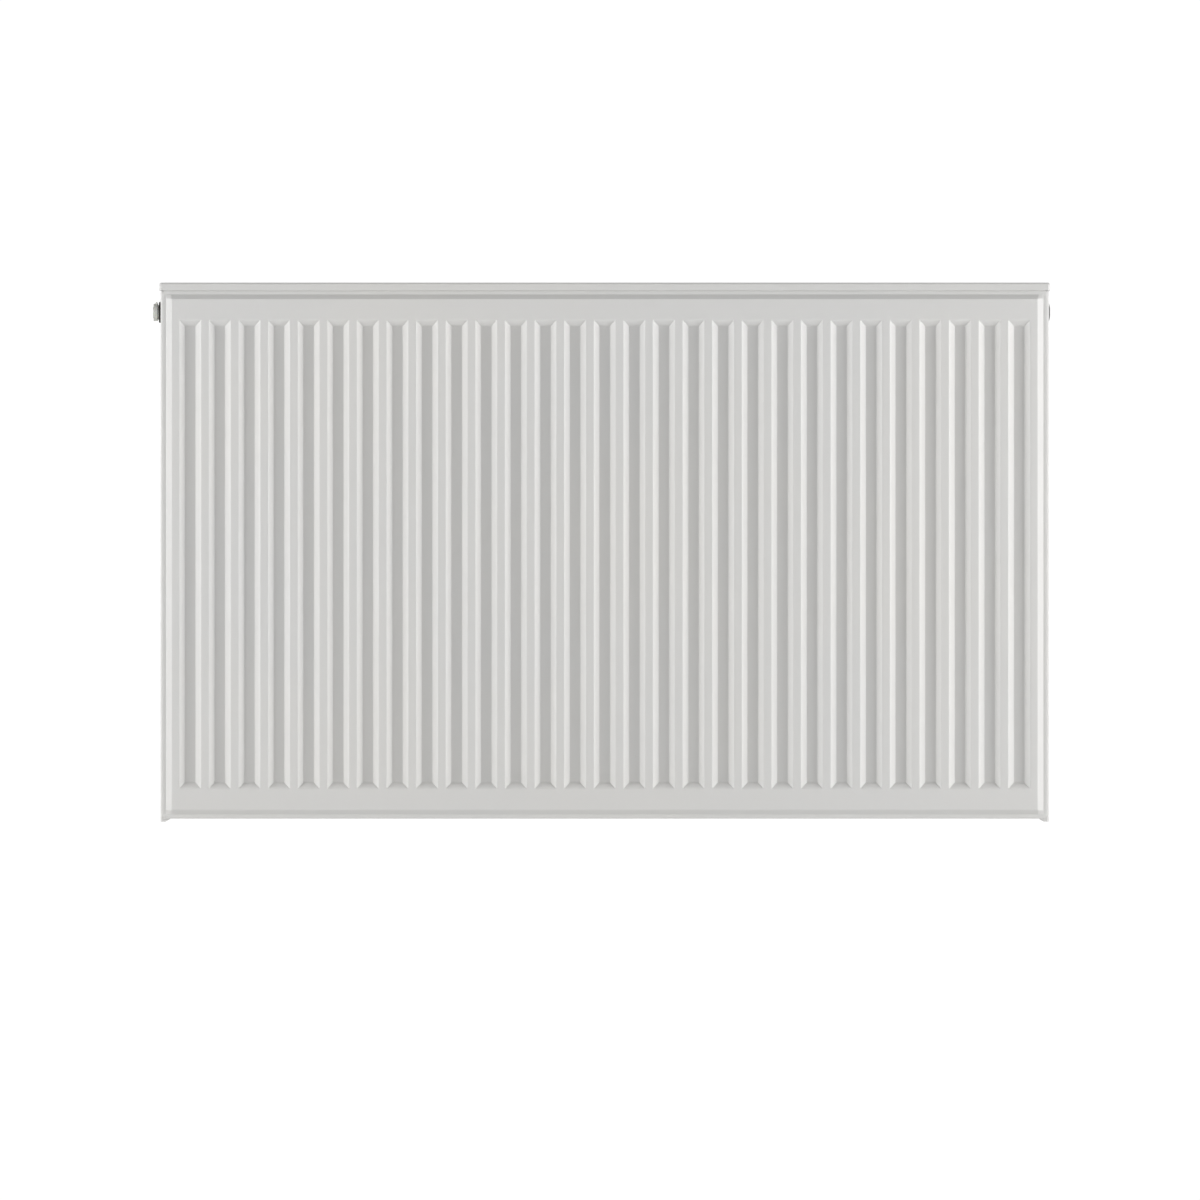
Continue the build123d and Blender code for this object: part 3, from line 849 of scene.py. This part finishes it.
# top grille: slotted sheet in one rolled frame with a lip all round
grille = {
    "sheet": 1.0 * mm,
    "slotPitch": 10.0 * mm,
    "slotWidth": 6.0 * mm,
    "slotEdge": 9.5 * mm,
    "slotRib": 6.0 * mm,
    "columns": 97,
    "corner": 2.8 * mm,
    "bend": 2.6 * mm,
    "slotRim": 0.3 * mm,
    "underRim": 0.15 * mm,
    "lipRound": 0.3 * mm,
    "merge": 0.02 * mm,
    "arcSteps": 8,
    "cornerSteps": 6,
}


def slotRays(halfWide, halfLong, s):
    # round a slot: (slot outline point, matching point on its cell's edge)
    radius = s["slotWidth"] / 2
    straight = halfLong - s["slotRib"] / 2 - radius
    pairs = []
    for end in (1, -1):
        for step in range(s["arcSteps"] + 1):
            angle = math.pi * step / s["arcSteps"]
            c, n = math.cos(angle), math.sin(angle)
            reach = halfLong - straight
            outerX = halfWide if abs(c) >= n - 1e-9 else halfWide * abs(c) / n
            outerY = reach if n >= abs(c) - 1e-9 else reach * n / abs(c)
            signX = 0 if abs(c) < 1e-9 else math.copysign(1, c)
            outline = Vector((end * c, end * n))
            pairs.append((outline, Vector((0, end * straight)),
                          Vector((end * signX * outerX, end * (straight + outerY)))))
    return pairs, radius


def makeSlotCell(halfWide, halfLong, topZ, s):
    pairs, radius = slotRays(halfWide, halfLong, s)
    rim = s["slotRim"]
    bottomZ = topZ - s["sheet"]
    under = s["underRim"]
    rings = [(None, topZ), (rim, topZ), (0.3 * rim, topZ - 0.3 * rim), (0, topZ - rim),
             (0, bottomZ + under), (under, bottomZ), (None, bottomZ)]
    work = bmesh.new()
    loops = []
    for growth, z in rings:
        loop = []
        for direction, centre, edge in pairs:
            flat = edge if growth is None else centre + direction * (radius + growth)
            loop.append(work.verts.new((flat.x, flat.y, z)))
        loops.append(loop)
    for first, second in zip(loops, loops[1:]):
        bridge(work, first, second)
    return plainMesh(work, "slotCell")


def makeGrilleFrame(box, halfWide, halfLong, s):
    # rolled edge and lip, filled in to the slot cells' outer border
    low, high = box
    middle = (low + high) / 2
    halfX, halfY = high.x - middle.x, high.y - middle.y
    t, bend, lip, edge = s["sheet"], s["bend"], high.z - low.z, s["lipRound"]
    section = roundedPath([(bend * 1.4, 0, 0), (0, 0, bend), (0, -lip, edge), (t, -lip, edge),
                           (t, -t, bend - t), (bend * 1.4, -t, 0)], s["cornerSteps"])
    work = bmesh.new()
    loops = []
    for inset, drop in section:
        radius = max(s["corner"] - inset, 0.05 * mm)
        loop = []
        for quarter in range(4):
            signX = (1, -1, -1, 1)[quarter]
            signY = (1, 1, -1, -1)[quarter]
            for step in range(s["cornerSteps"] + 1):
                angle = math.pi / 2 * (quarter + step / s["cornerSteps"])
                x = signX * (halfX - inset - radius) + radius * math.cos(angle)
                y = signY * (halfY - inset - radius) + radius * math.sin(angle)
                loop.append(work.verts.new((middle.x + x, middle.y + y, high.z + drop)))
        loops.append(loop)
    for first, second in zip(loops, loops[1:]):
        bridge(work, first, second)
    places = [edge for outline, centre, edge in slotRays(halfWide, halfLong, s)[0]]
    across = sorted({round(p.x, 7) for p in places if abs(p.y) > halfLong - 1e-7})
    upright = sorted({round(p.y, 7) for p in places if abs(p.x) > halfWide - 1e-7})
    reachX = s["columns"] * halfWide
    reachY = 2 * halfLong
    cellMiddles = [halfWide * (2 * c - s["columns"] + 1) for c in range(s["columns"])]
    xs = sorted({round(place + x, 7) for place in cellMiddles for x in across})
    ys = sorted({round(row * halfLong + y, 7) for row in (-1, 1) for y in upright})
    border = [(x, -reachY) for x in xs] + [(reachX, y) for y in ys[1:-1]]
    border += [(x, reachY) for x in reversed(xs)] + [(-reachX, y) for y in reversed(ys[1:-1])]
    for z, rolled in ((high.z, loops[0]), (high.z - t, loops[-1])):
        inner = [work.verts.new((middle.x + x, middle.y + y, z)) for x, y in border]
        edges = []
        for loop in (inner, rolled):
            for k in range(len(loop)):
                pair = (loop[k], loop[(k + 1) % len(loop)])
                edges.append(work.edges.get(pair) or work.edges.new(pair))
        bmesh.ops.triangle_fill(work, edges=edges, use_beauty=True, use_dissolve=False, normal=(0, 0, 1))
    return plainMesh(work, "grilleFrame")


def makeSlotTree():
    # a grid of slot cells inside the rolled frame
    tree, start, end = newTree("slotGrid", [
        ("Slot Cell", "Object"), ("Frame", "Object"), ("Columns", "Int"), ("Rows", "Int"),
        ("Width", "Float"), ("Depth", "Float"), ("Merge", "Float"), ("Finish", "Material")])
    link = tree.links.new
    grid = addNode(tree, "GeometryNodeMeshGrid", -600, 0)
    cell = addNode(tree, "GeometryNodeObjectInfo", -600, -300)
    border = addNode(tree, "GeometryNodeObjectInfo", -300, -500)
    place = addNode(tree, "GeometryNodeInstanceOnPoints", -300, 0)
    realize = addNode(tree, "GeometryNodeRealizeInstances", -100, 0)
    shift = addNode(tree, "GeometryNodeTransform", 100, 0)
    join = addNode(tree, "GeometryNodeJoinGeometry", 300, 0)
    merge = addNode(tree, "GeometryNodeMergeByDistance", 450, 0)
    smooth = addNode(tree, "GeometryNodeSetShadeSmooth", 600, 0)
    finish = addNode(tree, "GeometryNodeSetMaterial", 750, 0)
    for label, socket in (("Columns", "Vertices X"), ("Rows", "Vertices Y"),
                          ("Width", "Size X"), ("Depth", "Size Y")):
        link(start.outputs[label], grid.inputs[socket])
    link(start.outputs["Slot Cell"], cell.inputs["Object"])
    link(start.outputs["Frame"], border.inputs["Object"])
    link(grid.outputs["Mesh"], place.inputs["Points"])
    link(cell.outputs["Geometry"], place.inputs["Instance"])
    link(place.outputs["Instances"], realize.inputs["Geometry"])
    link(realize.outputs["Geometry"], shift.inputs["Geometry"])
    link(shift.outputs["Geometry"], join.inputs["Geometry"])
    link(border.outputs["Geometry"], join.inputs["Geometry"])
    link(join.outputs["Geometry"], merge.inputs["Geometry"])
    link(start.outputs["Merge"], merge.inputs["Distance"])
    link(merge.outputs["Geometry"], smooth.inputs["Geometry"])
    link(smooth.outputs["Geometry"], finish.inputs["Geometry"])
    link(start.outputs["Finish"], finish.inputs["Material"])
    link(finish.outputs["Geometry"], end.inputs["Geometry"])
    return tree


def makeGrille(settings):
    s = settings
    low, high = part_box("top_grille")
    middle = (low + high) / 2
    halfWide = s["slotPitch"] / 2
    halfLong = (high.y - middle.y - s["slotEdge"] + s["slotRib"] / 2) / 2
    cellMesh = makeSlotCell(halfWide, halfLong, high.z, s)
    for vertex in cellMesh.vertices:
        vertex.co.x += middle.x
        vertex.co.y += middle.y
    cell = sourceObject("slotCell", cellMesh)
    border = sourceObject("grilleFrame", makeGrilleFrame((low, high), halfWide, halfLong, s))
    mesh = runTree(makeSlotTree(), "topGrille", {
        "Slot Cell": cell, "Frame": border, "Columns": s["columns"], "Rows": 2,
        "Width": (s["columns"] - 1) * s["slotPitch"], "Depth": 2 * halfLong, "Merge": s["merge"],
        "Finish": whiteEnamel})
    bpy.data.objects.remove(cell)
    bpy.data.objects.remove(border)
    faceOutward(mesh)
    mesh = finishMesh(mesh, "topGrille", [flatFacesFirst])
    addPiece("topGrille", mesh, "top_grille", "white_enamel", whiteEnamel, "top_grille")


makeGrille(grille)
print("grille slotted")


# weld beads where the tees meet the inner sheets
bead = {
    "radius": 14.3 * mm,
    "thick": 1.1 * mm,
    "flattened": 0.8,
    "ripple": 0.16 * mm,
    "ripples": 44,
    "around": 264,
    "section": 8,
}


def makeWeldBeads(settings):
    s = settings
    work = bmesh.new()
    for side in (-1, 1):
        for level in ("upper", "lower"):
            low, high = teeBox(side, level)
            faceCentre = tapping(side, level)
            runX = faceCentre.x - side * (high.x - low.x - (high.z - low.z) / 2)
            for y in (low.y, high.y):
                rings = []
                for k in range(s["around"]):
                    angle = 2 * math.pi * k / s["around"]
                    wave = abs(math.sin(s["ripples"] * angle / 2))
                    thick = s["thick"] + s["ripple"] * (wave - 0.5) * 2
                    ring = []
                    for j in range(s["section"]):
                        turn = 2 * math.pi * j / s["section"]
                        radius = s["radius"] + thick * math.cos(turn)
                        x = runX + radius * math.cos(angle)
                        z = faceCentre.z + radius * math.sin(angle)
                        ring.append(work.verts.new((x, y + s["flattened"] * thick * math.sin(turn), z)))
                    rings.append(ring)
                for k, ring in enumerate(rings):
                    bridge(work, ring, rings[(k + 1) % s["around"]])
    addPiece("weldBeads", smoothMesh(work, "weldBeads"), "radiator", "white_enamel", whiteEnamel)


makeWeldBeads(bead)
print("beads welded")


# the two sealing rings keep their CAD shape and get the seal's rubber
for nodeName in ("plug_ring", "bleed_ring"):
    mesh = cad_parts[nodeName].data
    mesh.materials.clear()
    mesh.materials.append(sealRubber)
print("sealing rings blackened")


# studio: pale floor under the radiator, soft light from both sides, white surroundings
studio = {
    "floorBelow": 0.12,
    "floorSize": 9.0,
    "floorTone": 0.82,
    "floorGlow": 0.22,        # what the floor gives back over its own reflection
    "sideLightX": 3.2,
    "sideLightY": -1.16,
    "sideLightZ": 0.1,
    "sideLightWidth": 1.3,
    "sideLightHeight": 2.3,
    "aimAside": 0.25,         # from the middle of the front face
    "leftPower": 71.0,
    "rightPower": 84.0,
    "domeTop": 0.22,
    "domeSide": 0.47,
    "domeBottom": 0.46,
    "surroundings": 1.05,
}
camera = {
    "distance": 60.0,
    "frameWidth": 1.3507,     # metres across the picture at the front face
    "sideStep": -0.0053,      # picture centre left of the radiator's middle
    "aboveBottom": 0.2462,    # picture centre above the panels' bottom edge
    "sensor": 36.0,
}


def makeFloor():
    half = studio["floorSize"] / 2
    z = cadBox[0][2] - studio["floorBelow"]
    mesh = bpy.data.meshes.new("floor")
    corners = [(-half, -half, z), (half, -half, z), (half, half, z), (-half, half, z)]
    mesh.from_pydata(corners, [], [(0, 1, 2, 3)])
    floor = bpy.data.objects.new("floor", mesh)
    scene.collection.objects.link(floor)
    material, tree, shader = newMaterial("paleFloor")
    shader.inputs["Base Color"].default_value = (*[studio["floorTone"]] * 3, 1)
    shader.inputs["Roughness"].default_value = 0.9
    shader.inputs["Emission Color"].default_value = (1, 1, 1, 1)
    rays = addNode(tree, "ShaderNodeLightPath", 0, -300)
    glow = addNode(tree, "ShaderNodeMapRange", 200, -300)
    glow.inputs["To Min"].default_value = studio["floorGlow"]
    tree.links.new(rays.outputs["Is Camera Ray"], glow.inputs["Value"])
    tree.links.new(glow.outputs["Result"], shader.inputs["Emission Strength"])
    mesh.materials.append(material)


def makeDome():
    # white behind everything; what lights the radiator is darker overhead than at the sides
    world = bpy.data.worlds.new("studioDome")
    scene.world = world
    world.use_nodes = True
    tree = world.node_tree
    tree.nodes.clear()
    place = addNode(tree, "ShaderNodeTexCoord", -800, 0)
    split = addNode(tree, "ShaderNodeSeparateXYZ", -600, 0)
    ramp = addNode(tree, "ShaderNodeMapRange", -400, 0)
    ramp.inputs["From Min"].default_value = -1.0
    tones = addNode(tree, "ShaderNodeValToRGB", -200, 0)
    stops = tones.color_ramp.elements
    stops[0].color = (*[studio["domeBottom"]] * 3, 1)
    stops[1].color = (*[studio["domeTop"]] * 3, 1)
    middle = stops.new(0.5)
    middle.color = (*[studio["domeSide"]] * 3, 1)
    lightPart = addNode(tree, "ShaderNodeBackground", 100, -150)
    seenPart = addNode(tree, "ShaderNodeBackground", 100, 100)
    seenPart.inputs["Color"].default_value = (1, 1, 1, 1)
    seenPart.inputs["Strength"].default_value = studio["surroundings"]
    rays = addNode(tree, "ShaderNodeLightPath", 100, 400)
    mix = addNode(tree, "ShaderNodeMixShader", 350, 0)
    output = addNode(tree, "ShaderNodeOutputWorld", 550, 0)
    tree.links.new(place.outputs["Generated"], split.inputs["Vector"])
    tree.links.new(split.outputs["Z"], ramp.inputs["Value"])
    tree.links.new(ramp.outputs["Result"], tones.inputs["Fac"])
    tree.links.new(tones.outputs["Color"], lightPart.inputs["Color"])
    tree.links.new(rays.outputs["Is Camera Ray"], mix.inputs["Fac"])
    tree.links.new(lightPart.outputs["Background"], mix.inputs[1])
    tree.links.new(seenPart.outputs["Background"], mix.inputs[2])
    tree.links.new(mix.outputs["Shader"], output.inputs["Surface"])


def addSoftbox(name, place, aim, width, height, power):
    light = bpy.data.lights.new(name, "AREA")
    light.shape = "RECTANGLE"
    light.size = width
    light.size_y = height
    light.energy = power
    lamp = bpy.data.objects.new(name, light)
    lamp.location = place
    lamp.rotation_euler = (Vector(aim) - Vector(place)).to_track_quat("-Z", "Y").to_euler()
    scene.collection.objects.link(lamp)


def makeStudio():
    makeFloor()
    makeDome()
    low, high = cadBox
    middleZ = (low[2] + high[2]) / 2
    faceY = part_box("front_outer_sheet")[0].y
    y = faceY + studio["sideLightY"]
    z = middleZ + studio["sideLightZ"]
    for name, side, power in (("leftSoftbox", -1, "leftPower"), ("rightSoftbox", 1, "rightPower")):
        addSoftbox(name, (side * studio["sideLightX"], y, z),
                   (side * studio["aimAside"], faceY, middleZ), studio["sideLightWidth"],
                   studio["sideLightHeight"], studio[power])


def makeCamera():
    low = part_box("front_outer_sheet")[0]
    lens = bpy.data.cameras.new("camera")
    lens.sensor_width = camera["sensor"]
    lens.lens = camera["sensor"] * camera["distance"] / camera["frameWidth"]
    lens.clip_end = 2 * camera["distance"]
    eye = bpy.data.objects.new("camera", lens)
    eye.location = (camera["sideStep"], low.y - camera["distance"], low.z + camera["aboveBottom"])
    eye.rotation_euler = (math.pi / 2, 0, 0)
    scene.collection.objects.link(eye)
    scene.camera = eye


makeStudio()
makeCamera()
scene.view_settings.view_transform = "Standard"
print("studio and camera set")
